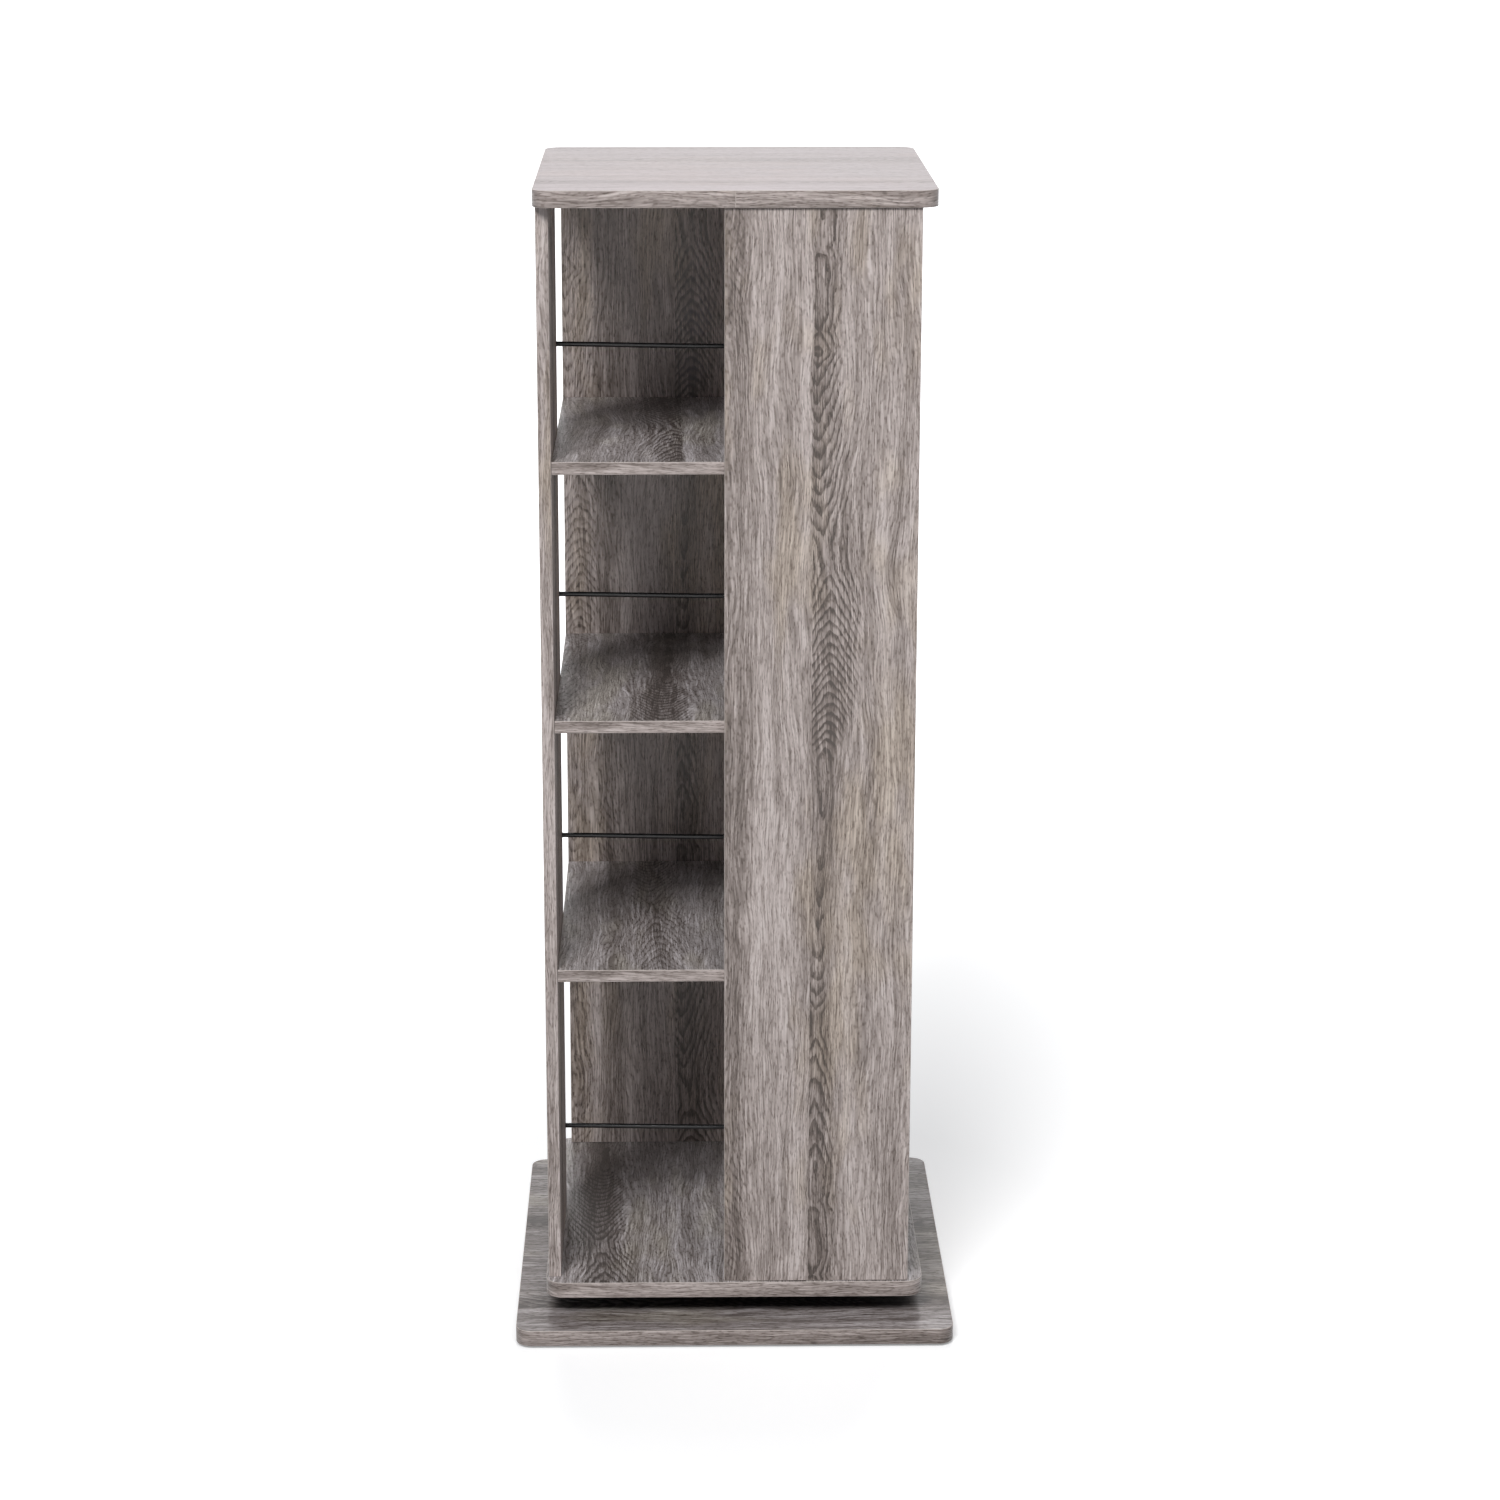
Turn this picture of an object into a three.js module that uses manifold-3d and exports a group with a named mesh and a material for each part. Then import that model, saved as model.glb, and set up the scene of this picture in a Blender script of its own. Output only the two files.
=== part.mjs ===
// A media tower that turns on a square base. Four identical side panels stand in a pinwheel round
// three square shelves, between a bottom and a top panel. Thin rods cross in each bay and stop the
// media from being pushed through. A flat ball bearing under a block carries the tower.
// Millimetres, +Z up. The origin is on the floor, under the middle of the base.
import * as THREE from "three";
import { mergeVertices } from "three/addons/utils/BufferGeometryUtils.js";
import Module from "manifold-3d";

const wasm = await Module();
wasm.setup();

// Boards: a 12 mm or 16 mm core with laminate on both faces
const thinBoard = 12.5;
const thickBoard = 16.5;
const easedEdge = 0.5;
const jointGap = 0.3; // between a board and the piece that it meets

// Tower
const shelfSide = 355;
const panelOverlap = 10.5; // how far each side panel reaches past the middle of its side
const capOverhang = 2.7; // top and bottom panels, past the outer faces of the side panels
const capCorner = 18;
const upperBay = 247; // clear height over each shelf
const lowerBay = 320.5; // clear height over the bottom panel
const shelfCount = 3;

// Base
const baseSide = 447;
const baseCorner = 16;
const glideRadius = 12;
const glideThickness = 2.7;
const glideInset = 30; // from the base's edges to a glide's middle
const accessRadius = 10; // hole for reaching the bearing's upper screws with a driver

// Rods
const rodRadius = 2.5;
const rodFit = 0.3; // round the rod in its hole
const rodHoleDepth = 8;
const rodEndGap = 0.5; // from the rod's end to the bottom of its hole
const crossingGap = 0.3; // between the two rods where they pass each other
const rodRise = 86.5; // rod ends over a shelf
const lowRodRise = 94; // rod ends over the bottom panel
const bowShares = [0.75, 1.5, -1.25]; // a bent rod, half way between pinned and clamped ends

// Cam locks: a disc let into one board, which draws in a post from the next board
const camRadius = 7.5;
const camHeight = 9;
const camInset = 0.2; // below the board's face
const camSetback = 24; // from the board's edge to the disc's middle
const camFit = 0.2;
const postRadius = 2.5;
const postDepth = 8.5; // into the next board
const slotLength = 9;
const slotWidth = 1.4;
const slotDepth = 1.5;

// Screws
const screwFit = 0.2; // round a shank in its hole
const screwTipGap = 0.8; // past the tip of a screw
const screwSeat = 0.1; // under or round a head
const panelScrew = { shank: 2.1, length: 40, head: 4.3, headHeight: 2.6, tip: 4 };
const blockScrew = { shank: 1.9, length: 24, head: 4, headHeight: 2.4, tip: 3.5 };
const plateScrew = { shank: 1.8, length: 11, head: 3.8, headHeight: 2.3, tip: 3 };

// Bearing: two pressed steel plates with a ring of balls between them
const sheet = 1.2;
const raceRadius = 59; // middle of the balls' path
const raceInward = 6.5; // pressed ring, from the balls' path to its inner edge
const raceOutward = 7;
const flangeHeight = 3.2; // top of the pressed ring over the plate's flat side
const flangeGap = 2.7; // between the two pressed rings
const rampWidth = 3;
const rampOffset = 1;
const raceLap = 1.5; // how far the pressed ring runs into the square plate
const plateMargin = 5.5; // from the pressed ring to the plate's edges
const plateCorner = 10;
const plateScrewInset = 10; // from the plate's edges
const ballRadius = 2.5;
const ballFit = 0.33;
const ballCount = 18;
const cageThickness = 0.8;
const cageHalfWidth = 5.2;
const hookStep = 2.5; // from the lower plate's inner edge to the inside of the upper plate's wall
const hookReach = 1.5; // how far that wall's lip reaches under the lower plate
const hookGap = 0.4; // between the lip and the lower plate

// Block between the bearing and the bottom panel
const blockSide = 210;
const blockScrewInset = 15; // from the block's edges

// Making
const overrun = 1; // how far a cutting tool runs past the face that it opens
const weldDistance = 1e-4;
const cornerSteps = 4;
const roundSteps = 12;
const screwSteps = 8;
const rodSides = 5;
const rodSteps = 12;
const raceSteps = 36;
const grooveSteps = 3;
const ballSides = 6;
const ballRows = 5;

// Bearing, worked out
const raceInner = raceRadius - raceInward;
const raceOuter = raceRadius + raceOutward;
const hookInner = raceInner - hookStep;
const hookLip = raceInner + hookReach;
const hookRise = flangeHeight - 2 * sheet - hookGap;
const bearingHeight = 2 * flangeHeight + flangeGap;
const plateSide = 2 * (raceOuter + rampWidth + raceLap + plateMargin);

// Heights
const baseBottom = glideThickness + jointGap;
const baseTop = baseBottom + thickBoard;
const bearingBottom = baseTop + jointGap;
const blockBottom = bearingBottom + bearingHeight + jointGap;
const towerBottom = blockBottom + thinBoard + jointGap;
const floorTop = towerBottom + thickBoard;
const shelfBottoms = [...Array(shelfCount)].map((_, n) => floorTop + lowerBay + n * (thinBoard + upperBay));
const capBottom = floorTop + lowerBay + shelfCount * (thinBoard + upperBay);

// Places in plan
const innerFace = shelfSide / 2 + jointGap; // of each side panel
const panelMiddle = innerFace + thinBoard / 2;
const capSide = 2 * (innerFace + thinBoard + capOverhang);
const camAcross = (shelfSide / 2 - panelOverlap) / 2; // middle of a side panel's width
const plateScrewPlace = plateSide / 2 - plateScrewInset;
const blockScrewRadius = blockSide / 2 - blockScrewInset;

const quarterTurns = [0, 1, 2, 3].map((n) => (n * Math.PI) / 2);
const sideNames = ["front", "right", "back", "left"];
const shelfNames = ["lower", "middle", "upper"];

const oak = new THREE.MeshStandardMaterial({ color: 0x928a86, roughness: 0.5, metalness: 0 });
const blackBoard = new THREE.MeshStandardMaterial({ color: 0x262524, roughness: 0.7, metalness: 0 });
const rodPaint = new THREE.MeshStandardMaterial({ color: 0x1b1b1d, roughness: 0.4, metalness: 0 });
const zincSteel = new THREE.MeshStandardMaterial({ color: 0xb4b6b8, roughness: 0.35, metalness: 1 });
const zincCasting = new THREE.MeshStandardMaterial({ color: 0x9b9c9e, roughness: 0.45, metalness: 1 });
const blackPlastic = new THREE.MeshStandardMaterial({ color: 0x222222, roughness: 0.6, metalness: 0 });

// Solids that join and cut
function solidOf(geometry) {
  const plain = geometry.index ? geometry.toNonIndexed() : geometry.clone();
  plain.deleteAttribute("normal");
  plain.deleteAttribute("uv");
  const merged = mergeVertices(plain, weldDistance);
  const vertProperties = merged.attributes.position.array;
  const triVerts = new Uint32Array(merged.index.array);
  return new wasm.Manifold(new wasm.Mesh({ numProp: 3, vertProperties, triVerts }));
}

function geometryOf(solid) {
  const { vertProperties, triVerts } = solid.getMesh();
  const geometry = new THREE.BufferGeometry();
  geometry.setAttribute("position", new THREE.BufferAttribute(vertProperties, 3));
  geometry.setIndex(new THREE.BufferAttribute(triVerts, 1));
  geometry.computeVertexNormals();
  return geometry;
}

function cut(body, tools) {
  return geometryOf(tools.reduce((left, tool) => left.subtract(solidOf(tool)), solidOf(body)));
}

function join(pieces) {
  return geometryOf(pieces.map(solidOf).reduce((whole, next) => whole.add(next)));
}

// Plain shapes
function rectangle(left, right, low, high) {
  const shape = new THREE.Shape();
  shape.moveTo(left, low).lineTo(right, low).lineTo(right, high).lineTo(left, high).closePath();
  return shape;
}

function roundedSquare(side, radius) {
  const reach = side / 2 - radius;
  const shape = new THREE.Shape();
  shape.moveTo(-reach, -side / 2);
  shape.absarc(reach, -reach, radius, -Math.PI / 2, 0);
  shape.absarc(reach, reach, radius, 0, Math.PI / 2);
  shape.absarc(-reach, reach, radius, Math.PI / 2, Math.PI);
  shape.absarc(-reach, -reach, radius, Math.PI, 1.5 * Math.PI);
  return shape;
}

// A board from z = 0 up, with a small chamfer along its edges
function board(outline, thickness) {
  const geometry = new THREE.ExtrudeGeometry(outline, {
    depth: thickness - 2 * easedEdge,
    bevelThickness: easedEdge,
    bevelSize: easedEdge,
    bevelOffset: -easedEdge,
    bevelSegments: 1,
    curveSegments: cornerSteps,
  });
  return geometry.translate(0, 0, easedEdge);
}

// A round bar from z = low to z = high
function bar(radius, low, high) {
  const geometry = new THREE.CylinderGeometry(radius, radius, high - low, roundSteps);
  return geometry.rotateX(Math.PI / 2).translate(0, 0, (low + high) / 2);
}

// A profile of [radius, height] points, turned round the Z axis
function turned(profile, steps) {
  const points = profile.map(([radius, height]) => new THREE.Vector2(radius, height));
  return new THREE.LatheGeometry(points, steps).rotateX(Math.PI / 2);
}

function fourWays(make) {
  return quarterTurns.map((turn) => make().rotateZ(turn));
}

// A screw that points up, with the face that a driver meets at z = 0
function countersunkScrew({ shank, length, head, headHeight, tip }) {
  const profile = [[0, 0], [head, 0], [shank, headHeight], [shank, length - tip], [0, length]];
  return turned(profile, screwSteps);
}

// The hole for that screw, which passes through a board of the given thickness
function countersunkHole({ shank, head, headHeight }, thickness) {
  const wide = head + screwSeat;
  const narrow = shank + screwFit;
  const slope = (head - shank) / headHeight;
  const profile = [[0, -overrun], [wide + overrun * slope, -overrun], [narrow, (wide - narrow) / slope]];
  return turned([...profile, [narrow, thickness + overrun], [0, thickness + overrun]], screwSteps);
}

// A screw that points up, with its head's flat seat at z = 0
function panHeadScrew({ shank, length, head, headHeight, tip }) {
  const profile = [[0, -headHeight], [head / 2, -headHeight], [head, -headHeight / 2], [head, 0]];
  return turned([...profile, [shank, 0], [shank, length - tip], [0, length]], screwSteps);
}

// Base
function basePlate() {
  const pilotLow = thickBoard - plateScrew.length;
  const pilots = fourWays(() =>
    bar(plateScrew.shank + screwFit, pilotLow, thickBoard + overrun)
      .translate(plateScrewPlace, plateScrewPlace, 0));
  const reach = plateScrewPlace * Math.SQRT2;
  const access = bar(accessRadius, -overrun, thickBoard + overrun).translate(reach, 0, 0);
  return cut(board(roundedSquare(baseSide, baseCorner), thickBoard), [...pilots, access]);
}

// Bearing
function grooveArc(radius, height) {
  const middle = bearingHeight / 2;
  const start = Math.asin((middle - height) / radius);
  return [...Array(grooveSteps + 1)].map((_, n) => {
    const angle = Math.PI + start + (n / grooveSteps) * (Math.PI - 2 * start);
    return [raceRadius + radius * Math.cos(angle), middle + radius * Math.sin(angle)];
  });
}

function raceProfile() {
  const flat = raceOuter + rampWidth;
  const above = grooveArc(ballRadius + ballFit, flangeHeight);
  const below = grooveArc(ballRadius + ballFit + sheet, flangeHeight - sheet);
  return [
    [raceInner, flangeHeight - sheet],
    ...below,
    [raceOuter - rampOffset, flangeHeight - sheet],
    [flat - rampOffset, 0],
    [flat + raceLap, 0],
    [flat + raceLap, sheet],
    [flat, sheet],
    [raceOuter, flangeHeight],
    ...above.reverse(),
    [raceInner, flangeHeight],
    [raceInner, flangeHeight - sheet],
  ];
}

function bearingPlate() {
  const square = new THREE.ExtrudeGeometry(roundedSquare(plateSide, plateCorner), {
    depth: sheet,
    bevelEnabled: false,
    curveSegments: cornerSteps,
  });
  const mouth = bar(raceOuter + rampWidth, -overrun, sheet + overrun);
  const holes = fourWays(() =>
    bar(plateScrew.shank + screwFit, -overrun, sheet + overrun)
      .translate(plateScrewPlace, plateScrewPlace, 0));
  return join([cut(square, [mouth, ...holes]), turned(raceProfile(), raceSteps)]);
}

function upperBearingPlate() {
  const top = bearingHeight - flangeHeight + sheet;
  const profile = [
    [hookInner, hookRise],
    [hookLip, hookRise],
    [hookLip, hookRise + sheet],
    [hookInner + sheet, hookRise + sheet],
    [hookInner + sheet, top - sheet],
    [raceInner + sheet, top - sheet],
    [raceInner + sheet, top],
    [hookInner, top],
    [hookInner, hookRise],
  ];
  const plate = bearingPlate().rotateX(Math.PI).translate(0, 0, bearingHeight);
  return join([plate, turned(profile, raceSteps)]);
}

function ballRing() {
  const inner = raceRadius - cageHalfWidth;
  const outer = raceRadius + cageHalfWidth;
  const low = -cageThickness / 2;
  const high = cageThickness / 2;
  const cage = turned([[inner, low], [outer, low], [outer, high], [inner, high], [inner, low]], raceSteps);
  const balls = [...Array(ballCount)].map((_, n) => {
    const ball = new THREE.SphereGeometry(ballRadius, ballSides, ballRows);
    return ball.rotateX(Math.PI / 2).translate(raceRadius, 0, 0).rotateZ((2 * Math.PI * n) / ballCount);
  });
  return join([cage, ...balls]);
}

// Tower
function turntableBlock() {
  const pilots = fourWays(() =>
    bar(plateScrew.shank + screwFit, -overrun, plateScrew.length)
      .translate(plateScrewPlace, plateScrewPlace, 0));
  const screwHoles = fourWays(() =>
    countersunkHole(blockScrew, thinBoard).translate(blockScrewRadius, 0, 0));
  return cut(board(rectangle(-blockSide / 2, blockSide / 2, -blockSide / 2, blockSide / 2), thinBoard), [
    ...pilots,
    ...screwHoles,
  ]);
}

function bottomPanel() {
  const pilotDepth = blockScrew.length - thinBoard - jointGap + screwTipGap;
  const pilots = fourWays(() =>
    bar(blockScrew.shank + screwFit, -overrun, pilotDepth).translate(blockScrewRadius, 0, 0));
  const screwHoles = fourWays(() =>
    countersunkHole(panelScrew, thickBoard).translate(camAcross, -panelMiddle, 0));
  return cut(board(roundedSquare(capSide, capCorner), thickBoard), [...pilots, ...screwHoles]);
}

function topPanel() {
  const postHoles = fourWays(() =>
    bar(postRadius + camFit, -overrun, postDepth + camFit).translate(camAcross, -panelMiddle, 0));
  return cut(board(roundedSquare(capSide, capCorner), thickBoard), postHoles);
}

// The hollow for a cam lock: the disc's recess, and the post's bore out through the board's edge.
// The disc's middle is at the origin on the board's face, +Z goes into the board, and -Y to its edge.
function camHollow() {
  const recess = bar(camRadius + camFit, -overrun, camInset + camHeight + camFit);
  const bore = bar(postRadius + camFit, 0, camSetback + overrun).rotateX(Math.PI / 2);
  return [recess, bore.translate(0, 0, thinBoard / 2)];
}

function camLock() {
  const disc = bar(camRadius, camInset, camInset + camHeight);
  const post = bar(postRadius, 0, camSetback + jointGap + postDepth).rotateX(Math.PI / 2);
  const slots = [0, Math.PI / 2].map((turn) =>
    new THREE.BoxGeometry(slotLength, slotWidth, 2 * slotDepth).translate(0, 0, camInset).rotateZ(turn));
  return cut(join([disc, post.translate(0, 0, thinBoard / 2)]), slots);
}

function shelf() {
  const half = shelfSide / 2;
  const tools = quarterTurns.flatMap((turn) =>
    camHollow().map((tool) => tool.translate(camAcross, camSetback - half, 0).rotateZ(turn)));
  return cut(board(rectangle(-half, half, -half, half), thinBoard), tools);
}

function rodHeights() {
  return [floorTop + lowRodRise, ...shelfBottoms.map((height) => height + thinBoard + rodRise)];
}

// The front side panel. Its inner face is at y = 0, its foot at z = 0, and x = 0 is the tower's middle.
function sidePanel() {
  const foot = floorTop + jointGap;
  const head = capBottom - jointGap;
  const outline = rectangle(-panelOverlap, shelfSide / 2, 0, head - foot);
  const intoPanel = (tool) => tool.rotateX(Math.PI / 2);
  const rodHoles = rodHeights().map((height) =>
    intoPanel(bar(rodRadius + rodFit, -overrun, rodHoleDepth)).translate(0, 0, height - foot));
  const postHoles = shelfBottoms.map((height) =>
    intoPanel(bar(postRadius + camFit, -overrun, postDepth + camFit))
      .translate(camAcross, 0, height + thinBoard / 2 - foot));
  const camHole = camHollow().map((tool) =>
    intoPanel(tool.rotateZ(Math.PI)).translate(camAcross, 0, head - foot - camSetback));
  const screwDepth = panelScrew.length - thickBoard - jointGap + screwTipGap;
  const pilot = bar(panelScrew.shank + screwFit, -overrun, screwDepth)
    .translate(camAcross, -thinBoard / 2, 0);
  const plain = board(outline, thinBoard).rotateX(Math.PI / 2);
  return cut(plain, [...rodHoles, ...postHoles, ...camHole, pilot]);
}

// A rod from side to side. It bows by half a rod where the other rod of its bay crosses it.
class BowedRod extends THREE.Curve {
  constructor(direction) {
    super();
    this.bow = direction * (rodRadius + crossingGap / 2);
    this.reach = innerFace + rodHoleDepth - rodEndGap;
  }

  getPoint(t, target = new THREE.Vector3()) {
    const along = (2 * t - 1) * this.reach;
    const inwards = Math.max(0, 1 - Math.abs(along) / innerFace);
    const rise = bowShares.reduce((sum, share, n) => sum + share * inwards ** (n + 1), 0);
    return target.set(along, 0, this.bow * rise);
  }
}

function rod(direction) {
  const section = new THREE.Shape().absarc(0, 0, rodRadius, 0, 2 * Math.PI);
  return new THREE.ExtrudeGeometry(section, {
    extrudePath: new BowedRod(direction),
    steps: rodSteps,
    curveSegments: rodSides,
  });
}

function glide() {
  const profile = [
    [0, 0],
    [glideRadius - easedEdge, 0],
    [glideRadius, easedEdge],
    [glideRadius, glideThickness],
    [0, glideThickness],
  ];
  return turned(profile, roundSteps);
}

// Assembly
function place(parent, name, geometry, material, x, y, z) {
  const mesh = new THREE.Mesh(geometry, material);
  mesh.name = name;
  mesh.position.set(x, y, z);
  parent.add(mesh);
  return mesh;
}

function addBase(tower) {
  place(tower, "base_plate", basePlate(), oak, 0, 0, baseBottom);
  place(tower, "bearing_lower_plate", bearingPlate(), zincSteel, 0, 0, bearingBottom);
  place(tower, "bearing_ball_ring", ballRing(), zincSteel, 0, 0, bearingBottom + bearingHeight / 2);
  place(tower, "bearing_upper_plate", upperBearingPlate(), zincSteel, 0, 0, bearingBottom);
  place(tower, "turntable_block", turntableBlock(), blackBoard, 0, 0, blockBottom);
}

// One corner's glide and bearing screws, and the block's screw on that side
function addCorner(corner, number) {
  const far = baseSide / 2 - glideInset;
  const upperSeat = bearingBottom + bearingHeight - sheet - screwSeat;
  place(corner, `base_glide_${number}`, glide(), blackPlastic, far, far, 0);
  const down = place(corner, `lower_plate_screw_${number}`, panHeadScrew(plateScrew), zincSteel,
    plateScrewPlace, plateScrewPlace, bearingBottom + sheet + screwSeat);
  down.rotation.x = Math.PI;
  place(corner, `upper_plate_screw_${number}`, panHeadScrew(plateScrew), zincSteel,
    plateScrewPlace, plateScrewPlace, upperSeat);
  place(corner, `block_screw_${number}`, countersunkScrew(blockScrew), zincSteel,
    blockScrewRadius, 0, blockBottom);
}

// One side panel and what fastens it
function addSide(side, name) {
  place(side, `side_panel_${name}`, sidePanel(), oak, 0, -innerFace, floorTop + jointGap);
  place(side, `panel_screw_${name}`, countersunkScrew(panelScrew), zincSteel,
    camAcross, -panelMiddle, towerBottom);
  shelfBottoms.forEach((height, n) => {
    place(side, `cam_lock_${shelfNames[n]}_${name}`, camLock(), zincCasting,
      camAcross, camSetback - shelfSide / 2, height);
  });
  const topCam = place(side, `cam_lock_top_${name}`, camLock(), zincCasting,
    camAcross, -innerFace, capBottom - jointGap - camSetback);
  topCam.rotation.set(Math.PI / 2, 0, Math.PI);
}

function addBoards(tower) {
  place(tower, "bottom_panel", bottomPanel(), oak, 0, 0, towerBottom);
  shelfBottoms.forEach((height, n) => place(tower, `shelf_${shelfNames[n]}`, shelf(), oak, 0, 0, height));
  place(tower, "top_panel", topPanel(), oak, 0, 0, capBottom);
}

function addRods(tower) {
  rodHeights().forEach((height, n) => {
    place(tower, `rod_${n + 1}_side_to_side`, rod(-1), rodPaint, 0, 0, height);
    const through = place(tower, `rod_${n + 1}_front_to_back`, rod(1), rodPaint, 0, 0, height);
    through.rotation.z = Math.PI / 2;
  });
}

function mediaTower() {
  const tower = new THREE.Group();
  addBase(tower);
  addBoards(tower);
  addRods(tower);
  quarterTurns.forEach((turn, n) => {
    const quarter = new THREE.Group();
    quarter.rotation.z = turn;
    tower.add(quarter);
    addCorner(quarter, n + 1);
    addSide(quarter, sideNames[n]);
  });
  return tower;
}

export default mediaTower();
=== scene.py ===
import math

import bmesh
import bpy
from mathutils import Matrix, Vector


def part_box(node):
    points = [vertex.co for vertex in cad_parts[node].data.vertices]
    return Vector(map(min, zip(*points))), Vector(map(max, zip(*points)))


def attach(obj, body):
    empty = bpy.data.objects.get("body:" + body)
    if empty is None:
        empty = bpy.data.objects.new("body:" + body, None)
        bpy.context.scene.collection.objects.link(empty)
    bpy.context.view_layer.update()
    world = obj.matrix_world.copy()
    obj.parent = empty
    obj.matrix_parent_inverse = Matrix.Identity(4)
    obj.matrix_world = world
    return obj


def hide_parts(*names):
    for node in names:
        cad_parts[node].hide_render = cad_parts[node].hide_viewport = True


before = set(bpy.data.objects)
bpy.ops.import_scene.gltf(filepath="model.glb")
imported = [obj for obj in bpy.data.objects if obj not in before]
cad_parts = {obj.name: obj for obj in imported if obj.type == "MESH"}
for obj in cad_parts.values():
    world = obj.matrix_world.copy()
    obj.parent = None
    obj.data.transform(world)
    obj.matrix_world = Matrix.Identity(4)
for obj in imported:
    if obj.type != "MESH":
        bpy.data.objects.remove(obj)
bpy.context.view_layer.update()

MM = 0.001
X, Y, Z = 0, 1, 2
UP = Vector((0, 0, 1))
SIDES = ["front", "right", "back", "left"]
LEVELS = ["lower", "middle", "upper"]
QUARTER = math.pi / 2

# The bays are numbered from the bottom: one under each shelf, and one under the top panel
BAYS = range(1, len(LEVELS) + 2)

# The photograph's view: lengths on it in pixels, the camera's place in metres and its turn in degrees
PHOTO_SIDE = 1500
FOCAL_PIXELS = 3433
CENTRE_PIXEL = (720, 655)
CAMERA_PLACE = (-0.0566, -3.4352, 1.5599)
CAMERA_DOWN = 14.491
CAMERA_RIGHT = 0.738
SENSOR_WIDTH = 36
VIEW_END = 200

# The sides of a cylinder, the most degrees between two faces that still look like one, and how nearly
# an edge's direction agrees with an axis that it runs along
ROUND_STEPS = 48
SMOOTH_ANGLE = 35
STRAIGHT = 0.999

# Boards
EASED_EDGE = 0.5 * MM
EASED_STEPS = 3
CAP_CORNER = 18 * MM
BASE_CORNER = 16 * MM
CORNER_STEPS = 14
SEAM_WIDTH = 0.8 * MM
SEAM_DEPTH = 0.12 * MM

# Holes. A drill starts this far outside the board, and one that goes through ends as far past it
OVERRUN = 1 * MM
ROD_HOLE_FIT = 0.3 * MM
CAM_FIT = 0.2 * MM
HEAD_FIT = 0.1 * MM

# The hole in the base through which a driver reaches the bearing's upper screws, one after the other
ACCESS_RADIUS = 10 * MM
ACCESS_PLACE = (93.3 * MM, 0)

# Rods. The bow's shares are of the whole bow, for each power of how far in from the end a point lies
ROD_RADIUS = 2.5 * MM
ROD_HOLE_DEPTH = 8 * MM
ROD_END_GAP = 0.5 * MM
ROD_CHAMFER = 0.3 * MM
CHAMFER_STEPS = 2
ROD_STEPS = 31
BOW_SHARES = [0.75, 1.5, -1.25]

# Cam locks
CAM_RADIUS = 7.5 * MM
CAM_HEIGHT = 9 * MM
CAM_INSET = 0.2 * MM
CAM_RIM = 0.4 * MM
POST_RADIUS = 2.5 * MM
SLOT_LENGTH = 9 * MM
SLOT_WIDTH = 1.4 * MM
SLOT_DEPTH = 1.5 * MM

# Glides
GLIDE_EDGE = 0.6 * MM
GLIDE_STEPS = 3


# Materials
def grey(value):
    return (value, value, value, 1)


def colour(code):
    """A linear colour from an sRGB hex code."""
    parts = [int(code[n:n + 2], 16) / 255 for n in (1, 3, 5)]
    return [p / 12.92 if p <= 0.04045 else ((p + 0.055) / 1.055) ** 2.4 for p in parts] + [1]


def shown(sockets, key):
    """The socket in use that has that name or number."""
    used = [s for s in sockets if s.enabled]
    return used[key] if isinstance(key, int) else next(s for s in used if s.name == key)


def add(tree, kind, inputs=None, stops=(), between="LINEAR", **settings):
    """Adds a node with its settings and links. An input is a value, a socket, or a node whose first
    output in use is taken. The stops are a colour ramp's, as (place, colour)."""
    node = tree.nodes.new("ShaderNode" + kind)
    for name, value in settings.items():
        setattr(node, name, value)
    for key, value in (inputs or {}).items():
        if isinstance(value, bpy.types.Node):
            value = shown(value.outputs, 0)
        if isinstance(value, bpy.types.NodeSocket):
            tree.links.new(value, shown(node.inputs, key))
        else:
            shown(node.inputs, key).default_value = value

    # A new ramp has two stops
    for n, (place, shade) in enumerate(stops):
        ramp = node.color_ramp
        ramp.interpolation = between
        stop = ramp.elements[n] if n < 2 else ramp.elements.new(1)
        stop.position = place
        stop.color = shade
    return node


def finish(name, build, **sockets):
    """A material whose Principled shader holds what is the same all over, and build links the rest."""
    made = bpy.data.materials.new(name)
    made.use_nodes = True
    tree = made.node_tree
    tree.nodes.clear()
    links = build(tree)
    shader = add(tree, "BsdfPrincipled", {**sockets, **links})
    add(tree, "OutputMaterial", {"Surface": shader})
    return made


# The laminate's printed paper repeats. Lengths are in millimetres, across and along the grain.
PRINT_WIDTH = 430
PRINT_LENGTH = 974

# Staves in the print: width, how soft the left edge is, the middle of the figure from the left edge,
# how pale the stave is, how strong its figure is, and the figure's shift along as a share of the print
STAVES = [
    (11, 1, -24, 0.53, 0.30, 0.40),
    (9, 7, -35, 0.36, 0.40, 0.40),
    (7, 6, -44, 0.50, 0.20, 0.40),
    (57, 5, 22, 0.68, 0.00, 0.20),
    (104, 1, 0, 0.66, 1.00, 0.00),
    (62, 1, 30, 0.64, 0.10, 0.55),
    (84, 6, 34, 0.56, 0.90, 0.35),
    (96, 1, 60, 0.66, 0.50, 0.75),
]

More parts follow.
